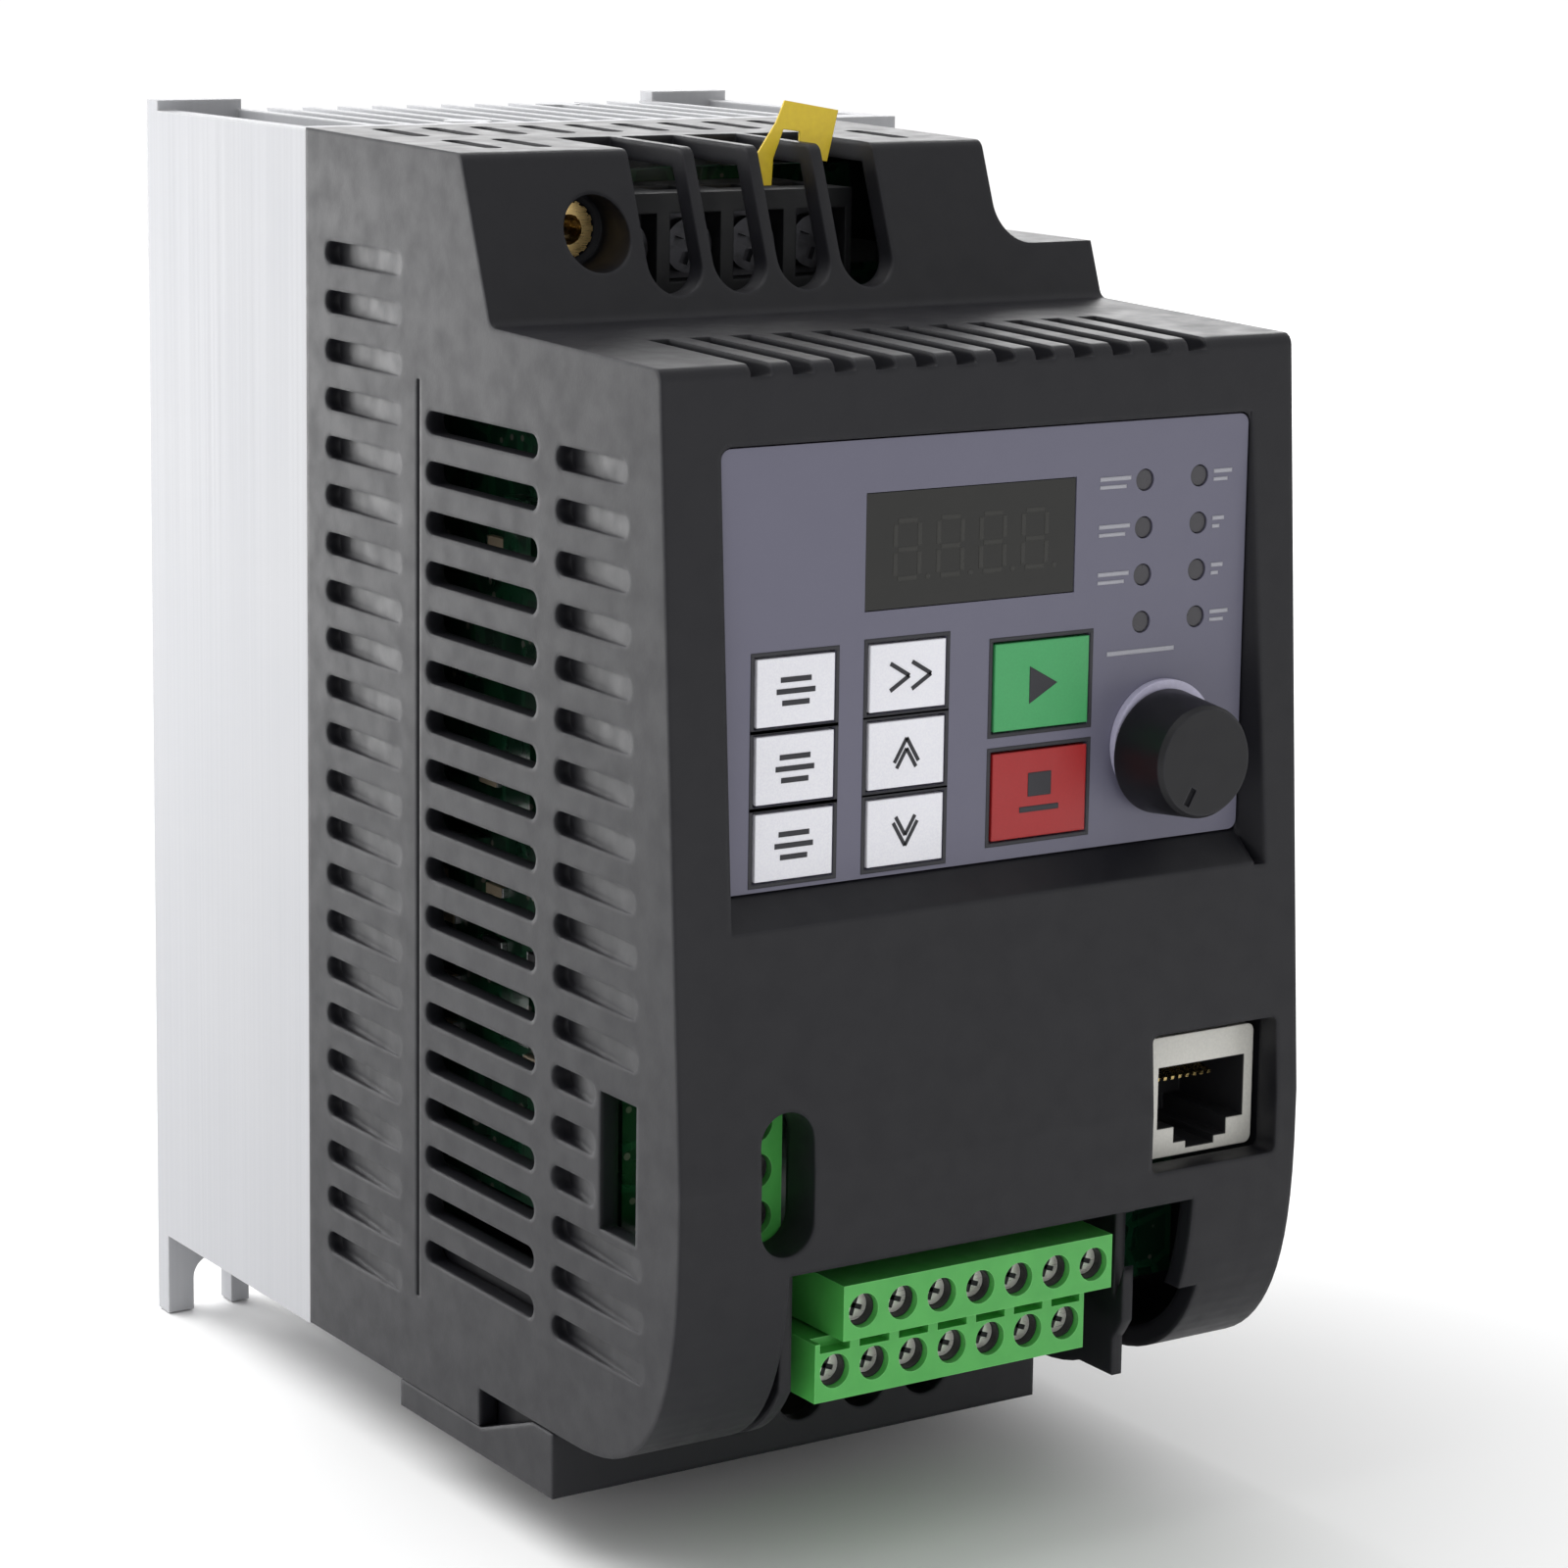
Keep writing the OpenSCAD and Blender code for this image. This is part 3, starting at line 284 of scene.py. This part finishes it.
def terminal_green():
    """Nylon terminal housings: slightly translucent-looking, with flow marks, and edges painted lighter as a
    painted highlight.
    """
    colour = (0.085, 0.46, 0.085)
    made = Surface("terminal_green", colour, 0.36, coat=0.1)
    made.set("Subsurface Weight", 0.08)
    made.set("Subsurface Radius", (0.6 * MM, 1.0 * MM, 0.4 * MM))
    made.tint(made.fit(made.noise(3.5, detail=3), 0.35, 0.7, 0.0, 0.5), (0.055, 0.36, 0.060))
    # Edges painted lighter: a painted highlight.
    made.tint(made.edges(0.2), (0.16, 0.60, 0.16))
    made.rough(made.noise(1.5, detail=3), 0.30, 0.44)
    made.bump(made.noise(0.35, detail=3), 0.008, 0.5)
    return made


def capacitor_sleeve():
    """Glossy shrink sleeve, slightly wavy over the can."""
    return moulded("capacitor_sleeve", (0.018, 0.022, 0.05), 0.25, grain_mm=1.8, depth_mm=0.02, edge_wear_and_highlight=1.3,
                   coat=0.4)


def transformer_ferrite():
    """Yellow polyester tape over a winding, so it shows the turns below."""
    made = Surface("transformer_ferrite", (0.52, 0.42, 0.12), 0.34, coat=0.2)
    turns = made.node("ShaderNodeTexWave", wave_type="BANDS", bands_direction="Z")
    turns.inputs["Scale"].default_value = 1 / (1.6 * MM)
    turns.inputs["Distortion"].default_value = 0.4
    made.link(made.place, turns.inputs["Vector"])
    made.tint(made.fit(turns.outputs["Fac"], 0.3, 0.8, 0.0, 0.5), (0.40, 0.30, 0.08))
    made.rough(made.noise(2), 0.28, 0.45)
    made.bump(turns.outputs["Fac"], 0.05, 0.5)
    return made


MATERIALS = {
    "heatsink_aluminium": heatsink_aluminium,
    "cover_plastic": cover_plastic,
    "thermal_pad": lambda: moulded("thermal_pad", (0.36, 0.43, 0.48), 0.75, grain_mm=0.6, depth_mm=0.03),
    "black_resin": lambda: moulded("black_resin", (0.016, 0.016, 0.018), 0.5, grain_mm=0.25),
    "steel_screw": lambda: turned_metal("steel_screw", (0.66, 0.66, 0.67), 0.30, (0.40, 0.40, 0.42)),
    "nickel_screw": lambda: turned_metal("nickel_screw", (0.90, 0.88, 0.82), 0.30, (0.36, 0.33, 0.28),
                                         metallic=0.45),
    # Supply clamp screws: steel painted dark as painted shade, for the shadow inside the top slots.
    "dark_steel": lambda: turned_metal("dark_steel", (0.10, 0.10, 0.11), 0.40, (0.03, 0.03, 0.03)),
    "brass_part": lambda: turned_metal("brass_part", (0.78, 0.56, 0.24), 0.28, (0.42, 0.27, 0.10)),
    "gold_contact": lambda: turned_metal("gold_contact", (0.92, 0.68, 0.28), 0.2, (0.75, 0.50, 0.18)),
    "board_green": board_green,
    "capacitor_sleeve": capacitor_sleeve,
    "transformer_ferrite": transformer_ferrite,
    "relay_case": lambda: moulded("relay_case", (0.03, 0.09, 0.26), 0.32, grain_mm=0.3, depth_mm=0.006),
    "terminal_black": lambda: moulded("terminal_black", (0.007, 0.0075, 0.009), 0.50, grain_mm=0.3),
    "terminal_green": terminal_green,
    "socket_white": lambda: moulded("socket_white", (0.70, 0.69, 0.64), 0.34, grain_mm=0.3, depth_mm=0.005,
                                    edge_wear_and_highlight=1.08),
    "panel_grey": panel_grey,
    "display_window": display_window,
    "led_lens": lambda: moulded("led_lens", (0.045, 0.043, 0.050), 0.30, grain_mm=0.4, depth_mm=0.004),
    "key_white": lambda: key_cap("key_white", (0.84, 0.84, 0.90)),
    "key_green": lambda: key_cap("key_green", (0.052, 0.35, 0.115)),
    "key_red": lambda: key_cap("key_red", (0.36, 0.012, 0.013)),
    "brushed_part": lambda: turned_metal("brushed_part", (0.62, 0.62, 0.64), 0.32, (0.48, 0.48, 0.50)),
    # The knob's edges are painted much lighter: a painted rim highlight.
    "knob_black": lambda: moulded("knob_black", (0.007, 0.007, 0.009), 0.42, grain_mm=0.25, depth_mm=0.006,
                                  edge_wear_and_highlight=4.0, specular=0.34),
    "collar_pale": lambda: moulded("collar_pale", (0.56, 0.54, 0.70), 0.34, grain_mm=0.5, depth_mm=0.003,
                                   edge_wear_and_highlight=1.1),
    "fan_black": lambda: moulded("fan_black", (0.014, 0.014, 0.016), 0.36, grain_mm=0.3, depth_mm=0.006),
    "tag_yellow": lambda: moulded("tag_yellow", (0.86, 0.62, 0.03), 0.38, grain_mm=0.8, depth_mm=0.01,
                                  edge_wear_and_highlight=1.1),
}
# Surfaces of the added pieces: colour, roughness, grain and depth of the grain in millimetres
EXTRAS = {
    "ink_white": ((0.34, 0.34, 0.38), 0.5, 0.15, 0.002),
    "ink_dark": ((0.020, 0.020, 0.026), 0.5, 0.15, 0.002),
    "ink_faint": ((0.0145, 0.0142, 0.0112), 0.3, 0.3, 0.002),
    "ceramic": ((0.42, 0.34, 0.24), 0.45, 0.2, 0.004),
}
surfaces = {slot: make().material for slot, make in MATERIALS.items()}
for extra, settings in EXTRAS.items():
    surfaces[extra] = moulded(extra, *settings).material

for part in frame["record"]["subparts"]:
    node = frame["nodes"][part["node"]]
    node.data.materials.clear()
    node.data.materials.append(surfaces[part["material_slot"]])


# ---------------------------------------------------------------- rounded edges on the CAD parts

def smooth_by_angle(obj):
    for face in obj.data.polygons:
        face.use_smooth = True
    obj.data.set_sharp_from_angle(angle=math.radians(30))


def rounded(name, width_mm):
    """Merges a node's flat facets and rounds its sharp edges."""
    node = frame["nodes"][name]
    merge = node.modifiers.new("merge_flat", "DECIMATE")
    merge.decimate_type = "DISSOLVE"
    merge.angle_limit = math.radians(0.6)
    bevel = node.modifiers.new("edge_round", "BEVEL")
    bevel.width = width_mm * MM
    bevel.segments = 2
    bevel.limit_method = "ANGLE"
    bevel.angle_limit = math.radians(38)
    bevel.use_clamp_overlap = True
    bevel.harden_normals = True
    smooth_by_angle(node)


# ---------------------------------------------------------------- mesh helpers

def circle(centre, radius, count):
    """Points of (width, height) round a circle."""
    turn = 2 * math.pi / count
    return [(centre[0] + radius * math.cos(turn * i), centre[1] + radius * math.sin(turn * i))
            for i in range(count)]


class Build:
    """Collects solid shapes in millimetres into one piece. Depth is measured forwards, towards -Y."""

    def __init__(self):
        self.mesh = bmesh.new()

    def prism(self, outline, depth0, depth1):
        """An outline of (width, height) points, solid from depth0 to depth1."""
        back = [self.mesh.verts.new((x * MM, -depth0 * MM, z * MM)) for x, z in outline]
        front = [self.mesh.verts.new((x * MM, -depth1 * MM, z * MM)) for x, z in outline]
        self.mesh.faces.new(back)
        self.mesh.faces.new(front[::-1])
        for i in range(len(outline)):
            j = (i + 1) % len(outline)
            self.mesh.faces.new((back[j], back[i], front[i], front[j]))

    def box(self, x, depth, z):
        self.prism([(x[0], z[0]), (x[1], z[0]), (x[1], z[1]), (x[0], z[1])], depth[0], depth[1])

    def stroke(self, start, end, width, depth0, depth1):
        """A bar from one (width, height) point to another."""
        along = Vector(end) - Vector(start)
        side = Vector((-along.y, along.x)).normalized() * width / 2
        corners = [Vector(start) - side, Vector(end) - side, Vector(end) + side, Vector(start) + side]
        self.prism([tuple(c) for c in corners], depth0, depth1)

    def disc(self, centre, radius, depth0, depth1, count=24):
        self.prism(circle(centre, radius, count), depth0, depth1)

    def tube(self, centre, inner, outer, depth0, depth1, count=24):
        """A pipe along the depth, with its wall between the two radii."""
        rings = []
        for radius in (inner, outer):
            for depth in (depth0, depth1):
                rings.append([self.mesh.verts.new((x * MM, -depth * MM, z * MM))
                              for x, z in circle(centre, radius, count)])
        for first, second in ((0, 1), (1, 3), (3, 2), (2, 0)):
            for i in range(count):
                j = (i + 1) % count
                self.mesh.faces.new((rings[first][i], rings[first][j], rings[second][j], rings[second][i]))

    def frame(self, x, z, width, depth0, depth1):
        """A rectangular border of the given width, inside the box."""
        self.box(x, (depth0, depth1), (z[0], z[0] + width))
        self.box(x, (depth0, depth1), (z[1] - width, z[1]))
        self.box((x[0], x[0] + width), (depth0, depth1), (z[0] + width, z[1] - width))
        self.box((x[1] - width, x[1]), (depth0, depth1), (z[0] + width, z[1] - width))

    def finish(self, name, body, slot, surface=None, round_mm=0.0):
        """Makes the piece and fixes it to its body; a surface is given when it isn't the slot's own."""
        bmesh.ops.recalc_face_normals(self.mesh, faces=self.mesh.faces)
        data = bpy.data.meshes.new(name)
        self.mesh.to_mesh(data)
        self.mesh.free()
        piece = bpy.data.objects.new(name, data)
        bpy.context.scene.collection.objects.link(piece)
        data.materials.append(surfaces[surface or slot])
        if round_mm:
            bevel = piece.modifiers.new("edge_round", "BEVEL")
            bevel.width = round_mm * MM
            bevel.segments = 2
            bevel.limit_method = "ANGLE"
            bevel.harden_normals = True
            smooth_by_angle(piece)
        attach(piece, body)


def box_mm(node):
    """A node's ranges in width, depth and height, in millimetres."""
    low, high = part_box(node)
    return (low[0] / MM, high[0] / MM), (-high[1] / MM, -low[1] / MM), (low[2] / MM, high[2] / MM)


def middle(span):
    return (span[0] + span[1]) / 2


# ---------------------------------------------------------------- printed marks, socket and terminals

# Each key's mark is a list of strokes on a square of -1 to 1, drawn on the cap
CHEVRON_UP = [((-0.42, -0.25), (0, 0.45)), ((0, 0.45), (0.42, -0.25))]
TWO_LINES = [((-0.62, 0.40), (0.62, 0.40)), ((-0.78, 0.0), (0.78, 0.0)), ((-0.55, -0.40), (0.55, -0.40))]


def turned(strokes, degrees):
    turn = Matrix.Rotation(math.radians(degrees), 2)
    return [(turn @ Vector(a), turn @ Vector(b)) for a, b in strokes]


def moved(strokes, dx, dz):
    shift = Vector((dx, dz))
    return [(Vector(a) + shift, Vector(b) + shift) for a, b in strokes]


def key_mark(node, body, strokes, scale, line_mm):
    """Strokes round the middle of a cap. The node's box measures the wider flange, but shares its centre."""
    x, depth, z = box_mm(node)
    centre = Vector((middle(x), middle(z)))
    mark = Build()
    for a, b in strokes:
        start, end = centre + Vector(a) * scale, centre + Vector(b) * scale
        mark.stroke(start, end, line_mm, depth[1], depth[1] + INK)
    mark.finish(node + "_mark", body, "black_resin", "ink_dark")


def play_mark(node, body, scale):
    """A triangle that points to the right."""
    x, depth, z = box_mm(node)
    cx, cz = middle(x), middle(z)
    mark = Build()
    mark.prism([(cx - 0.8 * scale, cz - scale), (cx + scale, cz), (cx - 0.8 * scale, cz + scale)],
               depth[1], depth[1] + INK)
    mark.finish(node + "_mark", body, "black_resin", "ink_dark")


def stop_mark(node, body, scale):
    """A square over a bar."""
    x, depth, z = box_mm(node)
    cx, cz = middle(x), middle(z)
    raised = (depth[1], depth[1] + INK)
    mark = Build()
    mark.box((cx - scale, cx + scale), raised, (cz - 0.2 * scale, cz + 1.5 * scale))
    mark.box((cx - 1.7 * scale, cx + 1.7 * scale), raised, (cz - 1.3 * scale, cz - 0.9 * scale))
    mark.finish(node + "_mark", body, "black_resin", "ink_dark")


def keypad_print():
    for name in ("menu", "enter", "reverse"):
        key_mark(name + "_key", name + "_button", TWO_LINES, 3.0, 0.55)
    double = moved(turned(CHEVRON_UP, -90), -0.4, 0) + moved(turned(CHEVRON_UP, -90), 0.4, 0)
    key_mark("shift_key", "shift_button", double, 3.4, 0.45)
    nested = CHEVRON_UP + moved([(Vector(a) * 0.8, Vector(b) * 0.8) for a, b in CHEVRON_UP], 0, -0.22)
    key_mark("up_key", "up_button", nested, 3.6, 0.4)
    key_mark("down_key", "down_button", turned(nested, 180), 3.6, 0.4)
    play_mark("run_key", "run_button", 2.0)
    stop_mark("stop_key", "stop_button", 1.5)


def key_frames():
    """A dark border printed round each key."""
    _, depth, _ = box_mm("keypad_panel")
    raised = (depth[1], depth[1] + INK)
    line = 0.42
    gap, flange = 0.25, 0.35  # gap round a cap, and how far the hidden flange of a key is wider than its cap
    reach = gap - flange + line
    frames = Build()
    for key in KEYS:
        kx, _, kz = box_mm(key + "_key")
        frames.frame((kx[0] - reach, kx[1] + reach), (kz[0] - reach, kz[1] + reach), line, *raised)
    frames.finish("key_frames", "drive", "black_resin", "ink_dark")


def indicator_labels():
    """Pairs of short bars beside the LEDs, in place of words, and one bar below them."""
    _, depth, _ = box_mm("keypad_panel")
    raised = (depth[1], depth[1] + INK)
    led_radius, led_pitch = 1.6, 5.1
    led_x, _, led_z = box_mm("indicator_leds")
    left, right = led_x[0] + led_radius, led_x[1] - led_radius
    rows = [led_z[1] - led_radius - led_pitch * i for i in range(4)]
    labels = Build()
    for row, height in enumerate(rows):
        left_bar = (left - 6.0, left - 1.9)
        right_bar = (right + 1.9, right + (4.4 if row in (0, 3) else 3.5))
        for bar in ((left_bar, right_bar) if row < 3 else (right_bar,)):
            labels.box(bar, raised, (height + 0.15, height + 0.6))
            labels.box((bar[0], bar[1] - 0.6), raised, (height - 0.7, height - 0.3))
    labels.box((left - 4.5, left + 4.5), raised, (rows[3] - 3.4, rows[3] - 2.9))
    labels.finish("indicator_labels", "drive", "key_white", "ink_white")


def display_digits():
    """Four unlit seven-segment digits, just visible in the dark window."""
    x, depth, z = box_mm("display_window")
    raised = (depth[1], depth[1] + 0.02)
    pitch, half_w, half_h, line, gap = 5.4, 1.5, 3.0, 0.55, 0.3
    digits = Build()
    for i in range(4):
        cx = middle(x) + (i - 1.5) * pitch
        cz = middle(z)
        for level in (-1, 0, 1):
            at = cz + level * half_h
            digits.stroke((cx - half_w + gap, at), (cx + half_w - gap, at), line, *raised)
        for side in (-1, 1):
            at = cx + side * half_w
            for low, high in ((-half_h + gap, -gap), (gap, half_h - gap)):
                digits.stroke((at, cz + low), (at, cz + high), line, *raised)
        digits.disc((cx + half_w + 1.1, cz - half_h), 0.32, *raised, 12)
    digits.finish("display_segments", "drive", "display_window", "ink_faint")


def socket_cavity_shade():
    """A dark skin over the data socket's cavity walls and back: painted shade inside the socket."""
    x, depth, z = box_mm("rj45_socket")
    centre, skin = middle(x) + 0.25, 0.16
    plug_w, notch_w, latch_w = 6.0, 3.7, 2.0  # half widths of the cavity's three steps
    top, floor_z, notch_z, latch_z = z[1] - 3.4, z[0] + 3.2, z[0] + 1.4, z[0] + 0.6
    back, front = depth[0] + 1.5, depth[1] - 0.12
    # Right half of the cavity's outline, from the top down to the middle of the latch notch
    half = [(0, top), (plug_w, top), (plug_w, floor_z), (notch_w, floor_z), (notch_w, notch_z),
            (latch_w, notch_z), (latch_w, latch_z), (0, latch_z)]
    lining = Build()
    for side in (-1, 1):
        for a, b in zip(half, half[1:]):
            lining.stroke((centre + side * a[0], a[1]), (centre + side * b[0], b[1]), skin, back, front)
    lining.box((centre - plug_w, centre + plug_w), (back, back + skin), (floor_z, top))
    lining.box((centre - notch_w, centre + notch_w), (back, back + skin), (notch_z, floor_z))
    lining.finish("socket_cavity_shade", "drive", "black_resin")


def terminal_well_shade():
    """Painted shade in the small screws' wells: a dark ring on each well's wall round the screw, and dark
    crosses in the heads' cross recesses.
    """
    pitch = 5.0
    well_shade = Build()
    for node, poles, upright in (("control_terminal_upper", 7, False), ("control_terminal_lower", 7, False),
                                 ("relay_terminal_block", 3, True)):
        x, depth, z = box_mm(node)
        front = depth[1]
        for i in range(poles):
            along = pitch * (i + 0.5)
            centre = (x[0] + 7.4, z[0] + 0.5 + along) if upright else (x[0] + along, middle(z))
            well_shade.tube(centre, 1.66, 1.84, front - 3.4, front - 0.9)
            for turn in (20, 110):
                arm = Vector((math.sin(math.radians(turn)), math.cos(math.radians(turn)))) * 1.08
                well_shade.stroke(Vector(centre) - arm, Vector(centre) + arm, 0.5, front - 2.5, front - 1.97)
    well_shade.finish("terminal_well_shade", "drive", "black_resin")


keypad_print()
key_frames()
indicator_labels()
display_digits()
socket_cavity_shade()
terminal_well_shade()


# ---------------------------------------------------------------- parts on the boards

def board_parts():
    """Chips, resistors and capacitors on the boards, where the slots and openings let them be seen."""
    draw = random.Random(11)
    chips, ceramics, metal = Build(), Build(), Build()
    # Riser board behind the left-hand slots: its face looks left
    x, depth, z = box_mm("driver_board")
    face = x[0] + 2.2
    for row in range(13):
        for column in range(4):
            ahead = depth[0] + 6 + column * 9.5 + draw.uniform(-1, 1)
            height = z[0] + 4 + row * 6.2 + draw.uniform(-1, 1)
            size = draw.choice((1.0, 1.3, 1.8))
            target = draw.choice((ceramics, chips, ceramics))
            # Skips heights just above the middle of the board's own chips, which stand 13 mm apart
            if (height + 32) % 13 < 5 and column < 2:
                continue
            target.box((face - 0.8, face), (ahead - size, ahead + size), (height - 0.6, height + 0.6))
            for side in (-1, 1):
                metal.box((face - 0.7, face), (ahead + side * size, ahead + side * (size + 0.35)),
                          (height - 0.55, height + 0.55))
    # Control board, seen through the terminal opening and beside the socket
    x, depth, z = box_mm("control_board")
    front = depth[1] - 1.6
    length, end = 1.6, 0.35
    for i in range(7):
        left = x[0] + 52 + (i % 3) * 2.6
        low = z[0] + 6 + (i // 3) * 3.4
        ceramics.box((left, left + length), (front, front + 0.7), (low, low + 0.9))
        metal.box((left - end, left), (front, front + 0.6), (low, low + 0.9))
        metal.box((left + length, left + length + end), (front, front + 0.6), (low, low + 0.9))
    chips.finish("small_chips", "drive", "black_resin", round_mm=0.08)
    ceramics.finish("small_ceramics", "drive", "transformer_ferrite", "ceramic", round_mm=0.08)
    metal.finish("solder_ends", "drive", "steel_screw", round_mm=0.05)


board_parts()


# ---------------------------------------------------------------- rounding

ROUNDED = {
    0.5: ("main_cover",),
    0.35: ("terminal_base",),
    0.3: ("heatsink", "speed_knob", "rj45_socket", "fan_frame"),
    0.25: tuple(key + "_key" for key in KEYS),
    0.2: ("keypad_panel", "knob_collar", "control_terminal_upper", "control_terminal_lower",
          "relay_terminal_block", "supply_terminal_block", "motor_terminal_block", "fan_guard"),
    0.15: ("cover_screws", "fan_screws", "supply_terminal_screws", "motor_terminal_screws"),
    0.1: ("relay_terminal_screws", "control_terminal_screws", "earth_insert"),
}
for width, names in ROUNDED.items():
    for name in names:
        rounded(name, width)


# ---------------------------------------------------------------- floor, light and camera

def floor():
    """A near-white floor that reaches far past every view."""
    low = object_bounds()[0][2]
    bpy.ops.mesh.primitive_plane_add(size=60.0, location=(0, 0, low - 0.2 * MM))
    plane = bpy.context.object
    plane.name = "floor"
    made = Surface("floor_paper", (0.94, 0.94, 0.94), 0.85, specular=0.2)
    made.tint(made.fit(made.noise(60), 0.4, 0.7, 0.0, 0.5), (0.93, 0.93, 0.93))
    made.bump(made.noise(1.5), 0.02, 0.3)
    plane.data.materials.append(made.material)
    plane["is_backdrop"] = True


def softbox(name, at, aim, size, power):
    data = bpy.data.lights.new(name, "AREA")
    data.shape = "RECTANGLE"
    data.size, data.size_y = size
    data.energy = power
    lamp = bpy.data.objects.new(name, data)
    lamp.location = at
    lamp.rotation_euler = (Vector(aim) - Vector(at)).to_track_quat("-Z", "Y").to_euler()
    lamp.visible_camera = False
    bpy.context.scene.collection.objects.link(lamp)


def sky_light(power, spread, towards):
    """A sun wide enough to act as an even sky."""
    data = bpy.data.lights.new("sky", "SUN")
    data.energy = power
    data.angle = math.radians(spread)
    lamp = bpy.data.objects.new("sky", data)
    lamp.rotation_euler = Vector(towards).to_track_quat("-Z", "Y").to_euler()
    bpy.context.scene.collection.objects.link(lamp)


def studio():
    """A white room with three softboxes behind the drive and a sky, shown in plain sRGB."""
    scene = bpy.context.scene
    world = bpy.data.worlds.new("studio")
    world.use_nodes = True
    background = world.node_tree.nodes["Background"]
    background.inputs["Color"].default_value = (1.0, 1.0, 1.0, 1.0)
    background.inputs["Strength"].default_value = 0.70
    scene.world = world
    softbox("key_left", (-0.42, 0.42, 0.40), (0, -0.02, 0.07), (0.3, 0.4), 1.0)
    softbox("side_rim", (-0.13, 0.28, 0.05), (-0.03, -0.04, 0.03), (0.12, 0.24), 0.5)
    softbox("back", (0.55, 1.15, 0.55), (0, -0.05, 0.06), (1.2, 0.7), 9)
    sky_light(1.45, 50, (0.35, -0.35, -0.87))
    scene.view_settings.view_transform = "Standard"
    scene.view_settings.look = "None"
    scene.view_settings.exposure = 0.0
    scene.view_settings.gamma = 1.0


def camera():
    """The reference view: from the left and slightly above."""
    azimuth, elevation, roll = (math.radians(angle) for angle in (33.30, 9.78, 0.85))
    place = (-0.26378, -0.48113, 0.10366)
    data = bpy.data.cameras.new("camera")
    data.lens = 100.27
    data.sensor_width = 36
    data.shift_y = -0.103
    eye = bpy.data.objects.new("camera", data)
    bpy.context.scene.collection.objects.link(eye)
    aim = Matrix.Rotation(-azimuth, 4, "Z") @ Matrix.Rotation(math.pi / 2 - elevation, 4, "X")
    eye.matrix_world = Matrix.Translation(place) @ aim @ Matrix.Rotation(roll, 4, "Z")
    bpy.context.scene.camera = eye


floor()
studio()
camera()
